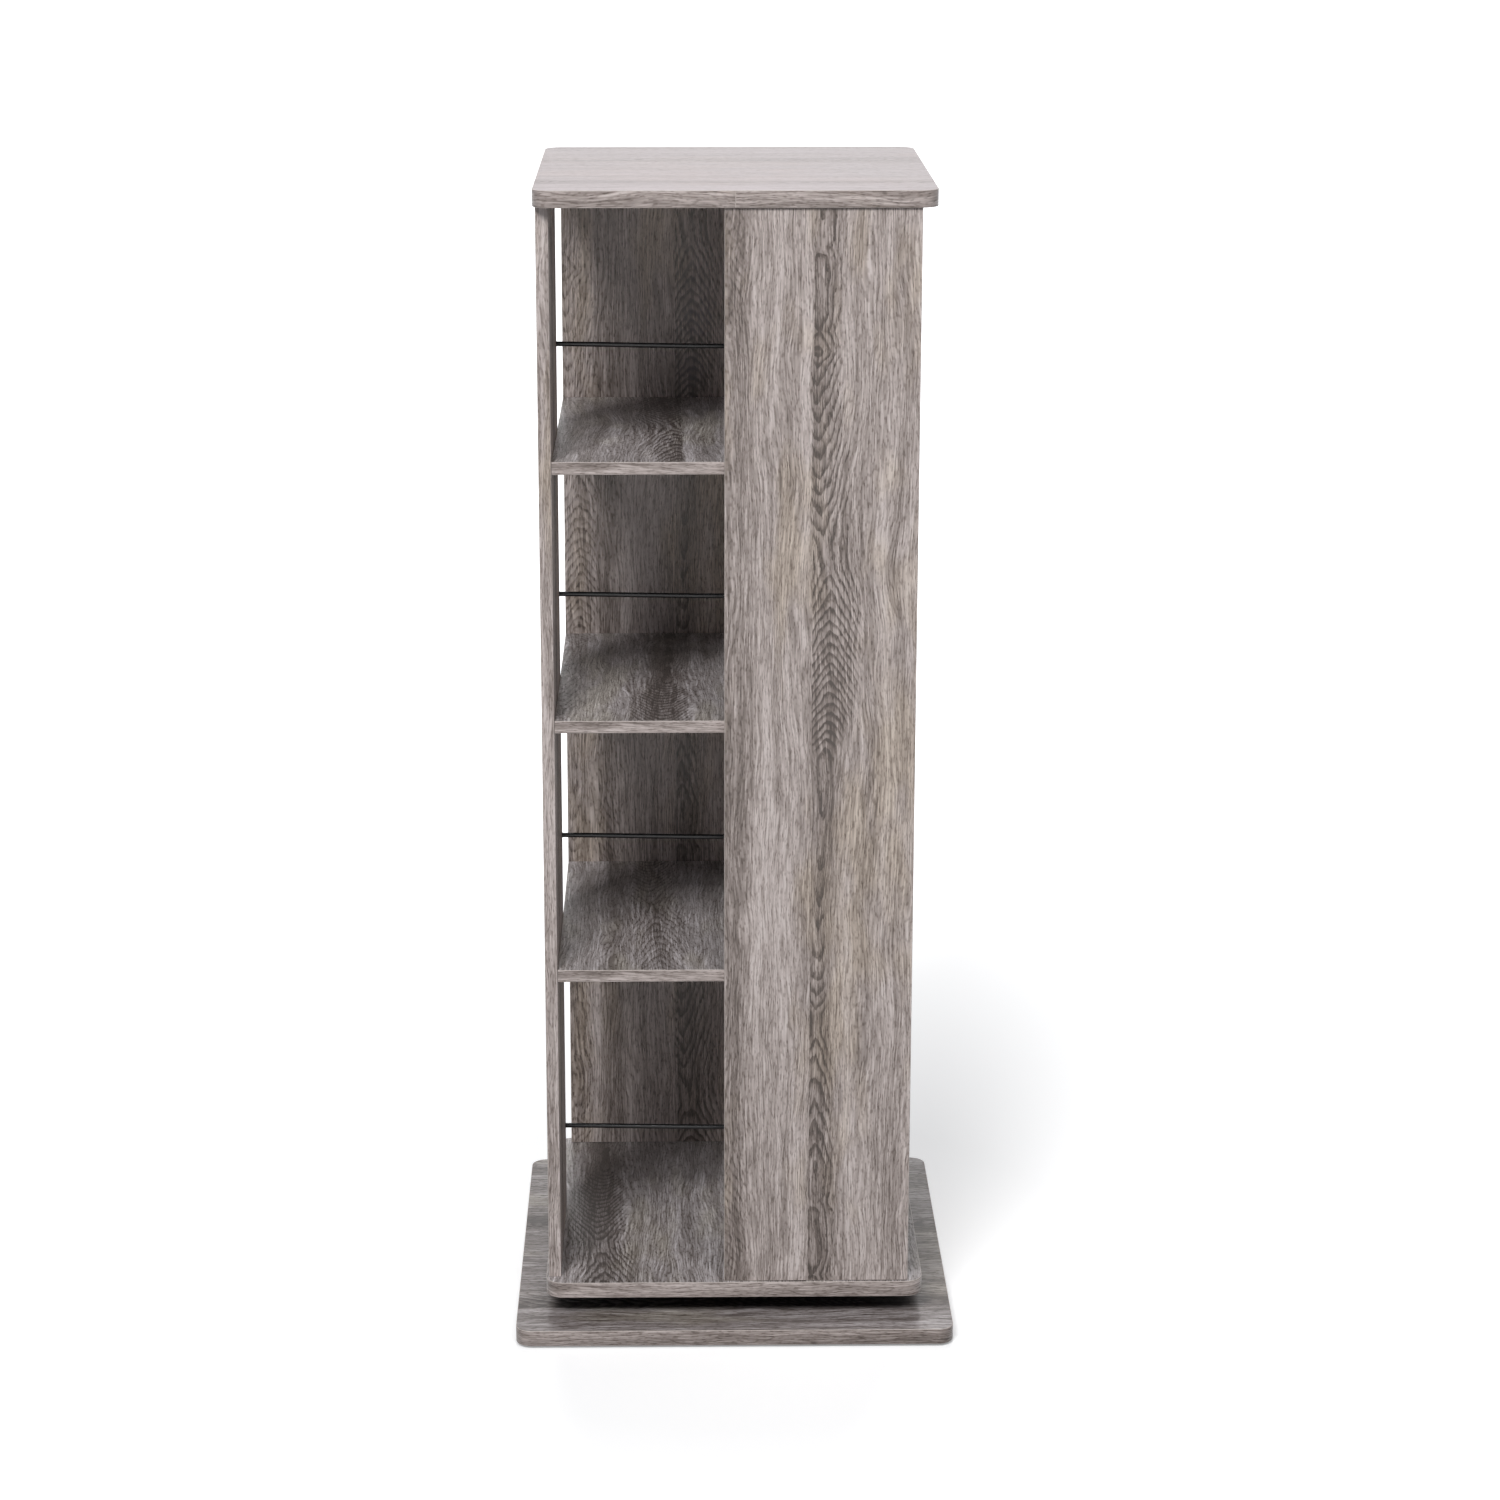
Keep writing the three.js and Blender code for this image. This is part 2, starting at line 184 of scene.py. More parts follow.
# The figure along the grain: the place, how far from the tree's middle the saw cut, how far the figure
# lies to the right, how far out its lines show, and how dark the ground is as a share. Where the print
# starts again, the saw's distances differ by whole ring spacings.
FIGURE = [
    (0, 58.2, 10, 26, 0.4), (31, 60, 9, 26, 0.4), (36, 61.3, 8, 26, 0.4), (50, 56.4, 8, 28, 0.5),
    (100, 56, 7, 28, 0.6), (118, 60.5, 6, 26, 0.6), (127, 55.4, 5, 26, 0.7), (138, 51, 5, 28, 0.8),
    (150, 59.4, 5, 30, 0.7), (178, 69, 6, 34, 0.6), (229, 85.5, 7, 36, 0.5), (300, 107, 10, 42, 0.5),
    (325, 113, 14, 42, 0.6), (351, 114, 17, 42, 0.6), (385, 103, 18, 42, 0.6), (433, 79, 19, 40, 0.7),
    (482, 50, 19, 36, 0.9), (518, 27, 16, 24, 1), (530, 19, 15, 16, 1), (545, 14, 14, 8, 1),
    (640, 22, 12, 5, 1), (700, 31, 11, 6, 0.8), (770, 46, 10, 10, 0.6), (808, 64, 8, 14, 0.6),
    (828, 63, 8, 18, 0.6), (878, 48, 8, 22, 0.6), (955, 27, 8, 24, 0.5), (965, 24, 9, 26, 0.4),
    (974, 22.2, 10, 26, 0.4),
]

# A colour ramp keeps values from 0 to 1, so it takes the figure's lengths as shares of this one, and
# the place to the right, which may also be to the left, round 0.5
FIGURE_SCALE = 120

# The rings' spacing, how wide and how pointed their arches are at the tip, the share of their reach
# from which they fade, and how far from its middle the dark ground is full and has faded out
RING_SPACING = 6
ARCH_WIDTH = 12
ARCH_POINT = 0.18
FADE_SHARE = 0.4
GROUND_REACH = (8, 26)

# How dark a growth ring's line is across one ring spacing
RING_LINE = [(0, 0.15), (0.1, 0), (0.4, 0.1), (0.6, 0.45), (0.74, 1), (0.93, 1), (1, 0.15)]

# Strokes and clouds: width and length. Pores are 0.2 mm wide in oak, and drawn 1 mm wide to show.
# The ranges are the part of the noise that turns from dark to pale: a low one leaves few dark strokes.
FINE_STROKE = (1, 38)
FINE_RANGE = (0.3, 0.7)
PORE_STROKE = (1, 9)
PORE_RANGE = (0.28, 0.48)
STROKE_DETAIL = 1
STROKE_ROUGHNESS = 0.6
STREAK = (1.9, 220)
BAND = (15, 450)
DRIFT = (50, 220)
WAVE = (9, 30)
JITTER = (3.5, 8)
CLOUD_RANGE = (0.25, 0.75)
TINT_PATCHES = [(70, 420), (25, 80)]
SMALL_PATCH_SHARE = 0.7

# Each column of strokes starts somewhere on this length of the noise
COLUMN_SHUFFLE = 1000

# How far the drift, the wave and the jitter move the grain and the rings
GRAIN_DRIFT = 6
GRAIN_WAVE = 0.38
RING_DRIFT = 3
RING_WAVE = 1.1
RING_JITTER = 0.3

# The wood's colours, in even steps of tone from the darkest to the palest
WOOD = ["#463E39", "#584E48", "#736963", "#8F8580", "#ABA19C", "#C7BDB9", "#DBD3CF"]
DARKEST = -0.25
PALEST = 1.25

# How much each part of the print moves the tone
FINE_TONE = 0.29
PORE_TONE = 0.16
STREAK_TONE = 0.23
BAND_TONE = 0.20
LINE_TONE = -0.98
GROUND_TONE = -0.34

# The pores break up a growth ring's line: how much of it stays, and how that turns with their tone
LINE_KEPT = 0.85
LINE_IN_PORE = -0.25

# The pores' surface
PORE_DEPTH = 0.12 * MM
PORE_BUMP = 0.35
PORE_ROUGHNESS = 0.44
SHEEN_ROUGHNESS = 0.34


def strokes(tree, across, along, size, low, high):
    """Short strokes along the grain, from -1, dark, to 1, pale: each column of the print has its own."""
    width, length = size
    columns = add(tree, "Math", {0: across, 1: 1 / width}, operation="MULTIPLY")
    column = add(tree, "Math", {0: columns}, operation="FLOOR")
    start = add(tree, "TexWhiteNoise", {"W": column}, noise_dimensions="1D")
    start = add(tree, "Math", {0: start.outputs["Value"], 1: COLUMN_SHUFFLE}, operation="MULTIPLY")
    place = add(tree, "Math", {0: along, 1: 1 / length, 2: start}, operation="MULTIPLY_ADD")
    stroke = add(tree, "TexNoise", {"W": place, "Scale": 1, "Detail": STROKE_DETAIL,
                                    "Roughness": STROKE_ROUGHNESS}, noise_dimensions="1D")
    return add(tree, "MapRange", {"Value": stroke, "From Min": low, "From Max": high,
                                  "To Min": -1, "To Max": 1})


def cloud(tree, place, size, detail=1):
    """Soft noise, drawn out along the grain, from -1 to 1."""
    width, length = size
    low, high = CLOUD_RANGE
    scaled = add(tree, "VectorMath", {0: place, 1: (1 / width, 1 / length, 0)}, operation="MULTIPLY")
    noise = add(tree, "TexNoise", {"Vector": scaled, "Scale": 1, "Detail": detail}, noise_dimensions="2D")
    return add(tree, "MapRange", {"Value": noise, "From Min": low, "From Max": high,
                                  "To Min": -1, "To Max": 1})


def staves(tree, across):
    """How far a place lies from its stave's figure, in mm, the stave's looks and the figure's shift."""
    turn = add(tree, "Math", {0: across, 1: 1 / PRINT_WIDTH}, operation="MULTIPLY")
    share = add(tree, "Math", {0: turn}, operation="FRACT")

    # A figure's middle may lie beyond the print's edge, so its place is kept at half size round 0.5
    middles, looks = [], []
    left = 0
    for n, (width, soft, middle, pale, figure, shift) in enumerate(STAVES):
        next_soft = STAVES[(n + 1) % len(STAVES)][1]
        centre = (left + middle + PRINT_WIDTH) / (2 * PRINT_WIDTH)
        middles.append((left / PRINT_WIDTH, (centre, shift, 0, 1)))
        looks.append(((left + soft / 2) / PRINT_WIDTH, (pale, figure, 0, 1)))
        left += width
        looks.append(((left - next_soft / 2) / PRINT_WIDTH, (pale, figure, 0, 1)))
    middles = add(tree, "ValToRGB", {0: share}, middles, "CONSTANT")
    middles = add(tree, "SeparateColor", {0: middles})
    looks = add(tree, "SeparateColor", {0: add(tree, "ValToRGB", {0: share}, looks)})
    middle = add(tree, "Math", {0: middles.outputs[0], 1: 2, 2: -1}, operation="MULTIPLY_ADD")
    from_middle = add(tree, "Math", {0: share, 1: middle}, operation="SUBTRACT")
    offset = add(tree, "Math", {0: from_middle, 1: PRINT_WIDTH}, operation="MULTIPLY")
    return offset, looks, middles.outputs[1]


def figure_lines(tree, sheet, along, drift, wave, offset, shift):
    """The growth rings' lines where the saw cut through them, and the dark ground behind them."""
    turn = add(tree, "Math", {0: along, 1: 1 / PRINT_LENGTH, 2: shift}, operation="MULTIPLY_ADD")
    share = add(tree, "Math", {0: turn}, operation="FRACT")
    figure = add(tree, "ValToRGB", {0: share}, [
        (spot / PRINT_LENGTH, (far / FIGURE_SCALE, reach / FIGURE_SCALE, dark, right / FIGURE_SCALE + 0.5))
        for spot, far, right, reach, dark in FIGURE])
    right = figure.outputs["Alpha"]
    figure = add(tree, "SeparateColor", {0: figure})
    centred = add(tree, "Math", {0: right, 1: -FIGURE_SCALE, 2: FIGURE_SCALE / 2}, operation="MULTIPLY_ADD")
    sideways = add(tree, "Math", {0: offset, 1: centred}, operation="ADD")
    away = add(tree, "Math", {0: sideways}, operation="ABSOLUTE")

    # The distance from the tree's middle, which the rings divide
    rounded = add(tree, "Math", {0: sideways, 1: sideways, 2: ARCH_WIDTH ** 2}, operation="MULTIPLY_ADD")
    radius = add(tree, "Math", {0: rounded}, operation="SQRT")
    parts = [(figure.outputs[0], FIGURE_SCALE), (away, ARCH_POINT), (drift, RING_DRIFT),
             (wave, RING_WAVE), (cloud(tree, sheet, JITTER), RING_JITTER)]
    for part, weight in parts:
        radius = add(tree, "Math", {0: part, 1: weight, 2: radius}, operation="MULTIPLY_ADD")
    rings = add(tree, "Math", {0: radius, 1: 1 / RING_SPACING}, operation="MULTIPLY")
    ring = add(tree, "Math", {0: rings}, operation="FRACT")
    line = add(tree, "ValToRGB", {0: ring}, [(place, grey(value)) for place, value in RING_LINE])

    reach = add(tree, "Math", {0: figure.outputs[1], 1: FIGURE_SCALE}, operation="MULTIPLY")
    faded = add(tree, "Math", {0: reach, 1: FADE_SHARE}, operation="MULTIPLY")
    near = add(tree, "MapRange", {"Value": away, "From Min": faded, "From Max": reach,
                                  "To Min": 1, "To Max": 0}, interpolation_type="SMOOTHSTEP")
    lines = add(tree, "Math", {0: line, 1: near}, operation="MULTIPLY")
    inner, outer = GROUND_REACH
    ground = add(tree, "MapRange", {"Value": away, "From Min": inner, "From Max": outer,
                                    "To Min": 1, "To Max": 0}, interpolation_type="SMOOTHSTEP")
    ground = add(tree, "Math", {0: ground, 1: figure.outputs[2]}, operation="MULTIPLY")
    return lines, ground


def printed_oak(tree):
    """The print's tone from 0, dark, to 1, pale, with its pores and the place on the sheet, in mm."""
    prints = add(tree, "UVMap", uv_map="print")
    sheet = add(tree, "VectorMath", {0: prints, "Scale": 1 / MM}, operation="SCALE")
    drift = cloud(tree, sheet, DRIFT, detail=2)
    wave = cloud(tree, sheet, WAVE)
    place = add(tree, "SeparateXYZ", {0: sheet})
    across, along = place.outputs["X"], place.outputs["Y"]
    offset, looks, shift = staves(tree, across)
    lines, ground = figure_lines(tree, sheet, along, drift, wave, offset, shift)
    lines = add(tree, "Math", {0: lines, 1: looks.outputs[1]}, operation="MULTIPLY")
    ground = add(tree, "Math", {0: ground, 1: looks.outputs[1]}, operation="MULTIPLY")

    # Strokes and bands along the grain
    drifted = add(tree, "Math", {0: drift, 1: GRAIN_DRIFT, 2: across}, operation="MULTIPLY_ADD")
    waving = add(tree, "Math", {0: wave, 1: GRAIN_WAVE, 2: drifted}, operation="MULTIPLY_ADD")
    fine = strokes(tree, waving, along, FINE_STROKE, *FINE_RANGE)
    pore = strokes(tree, waving, along, PORE_STROKE, *PORE_RANGE)
    flowing = add(tree, "CombineXYZ", {"X": waving, "Y": along})
    streak = cloud(tree, flowing, STREAK, detail=2)
    band = cloud(tree, flowing, BAND, detail=2)
    broken = add(tree, "Math", {0: pore, 1: LINE_IN_PORE, 2: LINE_KEPT}, operation="MULTIPLY_ADD")
    lines = add(tree, "Math", {0: lines, 1: broken}, operation="MULTIPLY")
    tone = looks.outputs[0]
    parts = [(fine, FINE_TONE), (pore, PORE_TONE), (streak, STREAK_TONE), (band, BAND_TONE),
             (lines, LINE_TONE), (ground, GROUND_TONE)]
    for part, weight in parts:
        tone = add(tree, "Math", {0: part, 1: weight, 2: tone}, operation="MULTIPLY_ADD")
    return tone, pore, sheet


def laminate(lift, spread, tints):
    """The printed sheet, lifted in tone, with its contrast as a share of the full print's and the two
    tints that its patches vary between."""
    def build(tree):
        tone, pore, sheet = printed_oak(tree)
        # For the flat, base and top sheets, the lift, the contrast and the tints also carry painted shade,
        # cool light or sheen
        lifted = add(tree, "Math", {0: tone, 1: spread, 2: lift}, operation="MULTIPLY_ADD")
        shade = add(tree, "MapRange", {"Value": lifted, "From Min": DARKEST, "From Max": PALEST})
        wood = add(tree, "ValToRGB", {0: shade}, [(n / (len(WOOD) - 1), colour(code))
                                                  for n, code in enumerate(WOOD)])
        wide, small = (cloud(tree, sheet, size) for size in TINT_PATCHES)
        patches = add(tree, "Math", {0: small, 1: SMALL_PATCH_SHARE, 2: wide}, operation="MULTIPLY_ADD")
        tint = add(tree, "ValToRGB", {0: patches}, [(n, colour(code)) for n, code in enumerate(tints)])
        tinted = add(tree, "Mix", {"Factor": 1.0, "A": wood, "B": tint}, data_type="RGBA",
                     blend_type="MULTIPLY")
        rough = add(tree, "MapRange", {"Value": pore, "From Min": -1, "From Max": 1,
                                       "To Min": PORE_ROUGHNESS, "To Max": SHEEN_ROUGHNESS})
        bump = add(tree, "Bump", {"Strength": PORE_BUMP, "Distance": PORE_DEPTH, "Height": pore})
        return {"Base Color": tinted, "Roughness": rough, "Normal": bump}
    return build


# A speckled finish: how fine its noise gets, the part of the noise in use, and its relief's strength
SPECKLE_DETAIL = 3
SPECKLE_RANGE = (0.3, 0.7)
SPECKLE_BUMP = 0.4


def speckled(dark, pale, smoothest, roughest, size, depth):
    """Noise of one size between two colours, which also moves the roughness and the height."""
    low, high = SPECKLE_RANGE

    def build(tree):
        place = add(tree, "TexCoord").outputs["Object"]
        grain = add(tree, "TexNoise", {"Vector": place, "Scale": 1 / size, "Detail": SPECKLE_DETAIL})
        rough = add(tree, "MapRange", {"Value": grain, "From Min": low, "From Max": high,
                                       "To Min": smoothest, "To Max": roughest})
        shade = add(tree, "ValToRGB", {0: grain}, [(low, colour(dark)), (high, colour(pale))])
        bump = add(tree, "Bump", {"Strength": SPECKLE_BUMP, "Distance": depth, "Height": grain})
        return {"Base Color": shade, "Roughness": rough, "Normal": bump}
    return build


# Melamine-faced board: paper printed with weathered grey oak, soaked in resin and pressed on with a
# textured plate. Up close it shows printed staves, cathedral figures and pores, with a satin sheen
# that turns pale at a low angle. The same print is drawn in six tones. Upright boards are warm and
# bands darker. Boards that lie flat are darker and cooler, as painted shade and painted cool light from
# above. The base is darkest, partly its own tone and partly painted shade under the tower. The top is
# pale and calm: its real sheen at a low angle is drawn as a painted sheen in its colour. Each has its
# lift, its contrast and its tints.
WARM_TINTS = ("#FFFCFC", "#FFF9EF")
# Cool tints: painted cool light from above, on the boards that lie flat and on the base
PAINTED_COOL_LIGHT_TINTS = ("#F4F8FF", "#F7FBF8")
# Pale tints: a painted sheen on the top
SHEEN_PAINTED_TINTS = ("#F8F7FF", "#FCF9FF")
OAK_SHEET = finish("melamine_oak_sheet", laminate(0, 1, WARM_TINTS), IOR=1.5)
OAK_BAND = finish("melamine_oak_band", laminate(-0.17, 1, WARM_TINTS), IOR=1.5)
# Boards that lie flat: darker and cooler, as painted shade and painted cool light from above
FLAT_SHADED_OAK_SHEET = finish("melamine_oak_sheet_flat_shaded", laminate(-0.15, 1, PAINTED_COOL_LIGHT_TINTS), IOR=1.5)
# The base: its own darker tone, with painted shade under the tower and painted cool light from above
DARK_SHADED_OAK_SHEET = finish("melamine_oak_sheet_dark_shaded", laminate(-0.39, 1, PAINTED_COOL_LIGHT_TINTS), IOR=1.5)
DARK_OAK_BAND = finish("melamine_oak_band_dark", laminate(-0.28, 1, WARM_TINTS), IOR=1.5)
# The top: paler and calmer, with a painted sheen drawn into its colour
SHEEN_PAINTED_OAK_SHEET = finish("melamine_oak_sheet_sheen_painted", laminate(0.59, 0.3, SHEEN_PAINTED_TINTS), IOR=1.5)

# The edge band's trimmed corner: the resin is cut through, which leaves a thin pale line. Its paleness is
# partly that cut and partly a painted highlight along the eased edge and in the seam
TRIMMED_BAND_AND_HIGHLIGHT = finish("trimmed_edge_band_and_highlight",
                      speckled("#B0A6A0", "#C8BEB8", 0.4, 0.5, 3 * MM, 0.02 * MM), IOR=1.5)

# Kraft backing paper, pressed on the faces that nobody sees: brown and dull, and drawn dark brown as
# painted shade in the gap over the base
BACKING_AND_GAP_SHADE = finish("kraft_backing_paper_and_gap_shade", speckled("#2A2522", "#352F2B", 0.6, 0.8, 1.2 * MM, 0.03 * MM))

# Drilled particle board: pressed wood chips, light brown, coarse and matt
PARTICLE_BOARD = finish("particle_board_core",
                        speckled("#8C7458", "#B59C7A", 0.8, 0.95, 1.5 * MM, 0.3 * MM))

# Particle board stained black: the block's own stain, and painted shade that keeps the gap over the base
# dark
BLACK_BOARD_AND_GAP_SHADE = finish("black_stained_board_and_gap_shade", speckled("#1C1B1A", "#2A2826", 0.6, 0.8, 1.2 * MM, 0.1 * MM))

# Gloss powder coat on drawn steel: baked, black and even, with a bright line along the rod that a
# faint orange peel softens
POWDER_COAT = finish("black_powder_coat",
                     speckled("#141415", "#1C1C1E", 0.16, 0.26, 0.6 * MM, 0.01 * MM), IOR=1.5)

# Electroplated zinc on pressed and turned steel: bright blue-grey with slightly cloudy gloss
ZINC_PLATE = finish("zinc_plated_steel",
                    speckled("#A9ABAD", "#C3C5C6", 0.25, 0.42, 4 * MM, 0.02 * MM), Metallic=1)

# Die-cast zinc alloy as it leaves the mould: dull grey with a grainy skin
ZINC_CASTING = finish("die_cast_zinc",
                      speckled("#8D8E90", "#A9AAAC", 0.38, 0.55, 0.8 * MM, 0.04 * MM), Metallic=1)

# Injection-moulded polypropylene: black, waxy and slightly mottled
GLIDE_PLASTIC = finish("moulded_polypropylene",
                       speckled("#1E1E1E", "#282828", 0.45, 0.6, 1 * MM, 0.03 * MM), IOR=1.49)


# Modelling
def activate(piece):
    bpy.ops.object.select_all(action="DESELECT")
    piece.select_set(True)
    bpy.context.view_layer.objects.active = piece


def place_mesh(name):
    """Takes the primitive that was just added as a piece, with its place in its mesh."""
    piece = bpy.context.object
    piece.name = name
    activate(piece)
    bpy.ops.object.transform_apply(location=True, rotation=True, scale=True)
    return piece


def box(name, low, high):
    bpy.ops.object.select_all(action="DESELECT")
    bpy.ops.mesh.primitive_cube_add(size=1, location=(low + high) / 2)
    bpy.context.object.scale = high - low
    return place_mesh(name)


def cylinder(name, start, end, radius, far_radius=None):
    """A closed cylinder or cone from start to end."""
    bpy.ops.object.select_all(action="DESELECT")
    line = end - start
    far = radius if far_radius is None else far_radius
    bpy.ops.mesh.primitive_cone_add(
        vertices=ROUND_STEPS, radius1=radius, radius2=far, depth=line.length,
        location=(start + end) / 2, rotation=line.to_track_quat("Z", "Y").to_euler())
    return place_mesh(name)


def select(piece, kind, test):
    """In edit mode, selects the piece's edges or faces that pass the test, and nothing else."""
    bpy.ops.mesh.select_mode(type=kind)
    bpy.ops.mesh.select_all(action="DESELECT")
    shape = bmesh.from_edit_mesh(piece.data)
    for part in shape.edges if kind == "EDGE" else shape.faces:
        if test(part):
            part.select_set(True)
    bmesh.update_edit_mesh(piece.data)


def runs_along(edge, axis):
    start, end = (point.co for point in edge.verts)
    return abs((end - start).normalized()[axis]) > STRAIGHT


def combine(piece, tool, operation):
    """Joins or cuts the piece with a tool, which takes its own material along."""
    activate(piece)
    bpy.ops.object.modifier_add(type="BOOLEAN")
    modifier = piece.modifiers[-1]
    modifier.operation = operation
    modifier.solver = "EXACT"
    modifier.material_mode = "TRANSFER"
    modifier.object = tool
    bpy.ops.object.modifier_apply(modifier=modifier.name)
    bpy.data.objects.remove(tool)


def drill(piece, mouth, inwards, radius, depth, far_radius=None):
    """Drills a round or tapered hole, which shows the board's core."""
    tool = cylinder("drill", mouth - inwards * OVERRUN, mouth + inwards * depth, radius, far_radius)
    tool.data.materials.append(PARTICLE_BOARD)
    combine(piece, tool, "DIFFERENCE")


def smooth(piece):
    activate(piece)
    bpy.ops.object.shade_smooth_by_angle(angle=math.radians(SMOOTH_ANGLE))


def done(piece, body, node):
    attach(piece, body)
    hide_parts(node)


# Boards. Where on the print an edge band starts, and how straight a face looks along the thin axis:
# a sheet's face fully, a band's face not at all
BAND_PRINT = 50 * MM
SHEET_FACE = 0.999
BAND_FACE = 0.01
ALONG_X = Vector((1, 0, 0))
ALONG_Y = Vector((0, 1, 0))
FRONT = -1
BACK = 1


def board(node, thin, sheet, band, corner=0.0, under=None):
    """A board in its CAD node's box, with eased edges, laminated faces and a band round its rim."""
    low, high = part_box(node)
    piece = box(node + "_laminated", low, high)
    bpy.ops.object.mode_set(mode="EDIT")
    if corner:
        select(piece, "EDGE", lambda edge: runs_along(edge, thin))
        bpy.ops.mesh.bevel(offset=corner, segments=CORNER_STEPS, affect="EDGES")
    select(piece, "EDGE", lambda edge: not runs_along(edge, thin))
    bpy.ops.mesh.bevel(offset=EASED_EDGE, segments=EASED_STEPS, affect="EDGES")
    bpy.ops.object.mode_set(mode="OBJECT")
    under = under or sheet
    slots = list(dict.fromkeys([sheet, under, band, TRIMMED_BAND_AND_HIGHLIGHT]))
    for slot in slots:
        piece.data.materials.append(slot)
    # Eased edges take the trimmed band's pale colour, partly a painted highlight
    for face in piece.data.polygons:
        lean = face.normal[thin]
        if abs(lean) > SHEET_FACE:
            used = sheet if lean > 0 else under
        else:
            used = band if abs(lean) < BAND_FACE else TRIMMED_BAND_AND_HIGHLIGHT
        face.material_index = slots.index(used)
    return piece


def butt_seam(piece, node, side):
    """A fine joint between the ends of the edge band, in the middle of the front or back rim."""
    low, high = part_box(node)
    middle = (low[X] + high[X]) / 2
    outwards = Vector((0, side, 0))
    activate(piece)
    bpy.ops.object.mode_set(mode="EDIT")
    for edge in (-SEAM_WIDTH / 2, SEAM_WIDTH / 2):
        bpy.ops.mesh.select_all(action="SELECT")
        bpy.ops.mesh.bisect(plane_co=(middle + edge, 0, 0), plane_no=ALONG_X)
    select(piece, "FACE", lambda face: face.normal.dot(outwards) > SHEET_FACE and
           abs(face.calc_center_median()[X] - middle) < SEAM_WIDTH / 2)
    bpy.ops.mesh.extrude_region_move(TRANSFORM_OT_translate={"value": -outwards * SEAM_DEPTH})
    # The joint's floor is drawn pale, partly as a painted highlight
    piece.active_material_index = piece.data.materials.find(TRIMMED_BAND_AND_HIGHLIGHT.name)
    bpy.ops.object.material_slot_assign()
    bpy.ops.object.mode_set(mode="OBJECT")


def rim_length(half, corner):
    """The girth of a rounded rectangle."""
    return 4 * (half[0] + half[1]) - 8 * corner + 2 * math.pi * corner


def rim_place(point, half, corner):
    """How far round a rounded rectangle's rim a point lies, from the start of its front on."""
    reach = [half[0] - corner, half[1] - corner]
    inner = [max(-reach[n], min(reach[n], point[n])) for n in (0, 1)]
    angle = math.atan2(point[0] - inner[0], inner[1] - point[1]) % (2 * math.pi)

    # The last corner's second half belongs to a fifth side, the front once more
    side = round(angle / QUARTER)
    ahead = [inner[0] + reach[0], inner[1] + reach[1], reach[0] - inner[0], reach[1] - inner[1],
             inner[0] + reach[0]][side]
    passed = sum(2 * reach[n % 2] for n in range(side))
    return passed + ahead + corner * angle


def lay_print(piece, node, thin, grain, starts, corner=EASED_EDGE, seam_side=BACK):
    """Gives each face its place on the printed sheet, in metres: U across the grain and V along it.
    The edge band's print runs round the rim, from the seam on. A square corner counts as an eased one."""
    low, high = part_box(node)
    middle = (low + high) / 2
    flat = [axis for axis in (X, Y, Z) if axis != thin]
    half = [(high[axis] - low[axis]) / 2 for axis in flat]
    girth = rim_length(half, corner)
    seam = half[0] - corner + (girth / 2 if seam_side == BACK else 0)
    prints = piece.data.uv_layers.new(name="print")
    for face in piece.data.polygons:
        normal = face.normal
        spots = {loop: piece.data.vertices[piece.data.loops[loop].vertex_index].co - middle
                 for loop in face.loop_indices}
        if abs(normal[thin]) > SHEET_FACE:
            start = starts[0] if normal[thin] > 0 else starts[1]
            right = normal.cross(grain)
            for loop, spot in spots.items():
                prints.data[loop].uv = (spot.dot(right) + start[0] * MM, spot.dot(grain) + start[1] * MM)
            continue
        centre = face.center - middle
        here = rim_place([centre[axis] for axis in flat], half, corner)
        for loop, spot in spots.items():
            there = rim_place([spot[axis] for axis in flat], half, corner)
            step = (there - here + girth / 2) % girth - girth / 2
            prints.data[loop].uv = (spot[thin] + BAND_PRINT, (here - seam) % girth + step)


def sink_screws(piece):
    """Countersinks for the screws that hold the side panels."""
    for side in SIDES:
        low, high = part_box("panel_screw_" + side)
        mouth = Vector(((low[X] + high[X]) / 2, (low[Y] + high[Y]) / 2, low[Z]))
        radius = (high[X] - low[X]) / 2 + HEAD_FIT
        drill(piece, mouth, UP, radius + OVERRUN, radius, 0)


# Boards with rounded corners: name, body, corner, the sheets on top, round the rim and underneath, the
# way the grain runs, where the print starts, and the side of the seam in the band
CAPS_AND_BASE = [
    # The top's sheet carries a painted sheen, and the bottom's and the base's painted shade and cool light
    ("top_panel", "tower", CAP_CORNER, SHEEN_PAINTED_OAK_SHEET, OAK_BAND, None, ALONG_X, (220, 700), FRONT),
    ("bottom_panel", "tower", CAP_CORNER, FLAT_SHADED_OAK_SHEET, OAK_BAND, BACKING_AND_GAP_SHADE, ALONG_Y, (159, 100), BACK),
    ("base_plate", "base", BASE_CORNER, DARK_SHADED_OAK_SHEET, DARK_OAK_BAND, BACKING_AND_GAP_SHADE, ALONG_X, (253, 400), BACK),
]


def add_caps_and_base():
    for node, body, corner, sheet, band, under, grain, start, seam_side in CAPS_AND_BASE:
        piece = board(node, Z, sheet, band, corner, under)
        butt_seam(piece, node, seam_side)
        if node == "bottom_panel":
            sink_screws(piece)
        if node == "base_plate":
            low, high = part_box(node)
            drill(piece, Vector((*ACCESS_PLACE, low[Z])), UP, ACCESS_RADIUS, high[Z] - low[Z] + OVERRUN)
        lay_print(piece, node, Z, grain, (start, start), corner, seam_side)
        smooth(piece)
        done(piece, body, node)


# Where each shelf's print starts, on top and underneath, in mm across and along the grain
SHELF_PRINTS = {
    "lower": ((324, 560), (20, 60)),
    "middle": ((230, 230), (250, 500)),
    "upper": ((34, 327), (90, 300)),
}


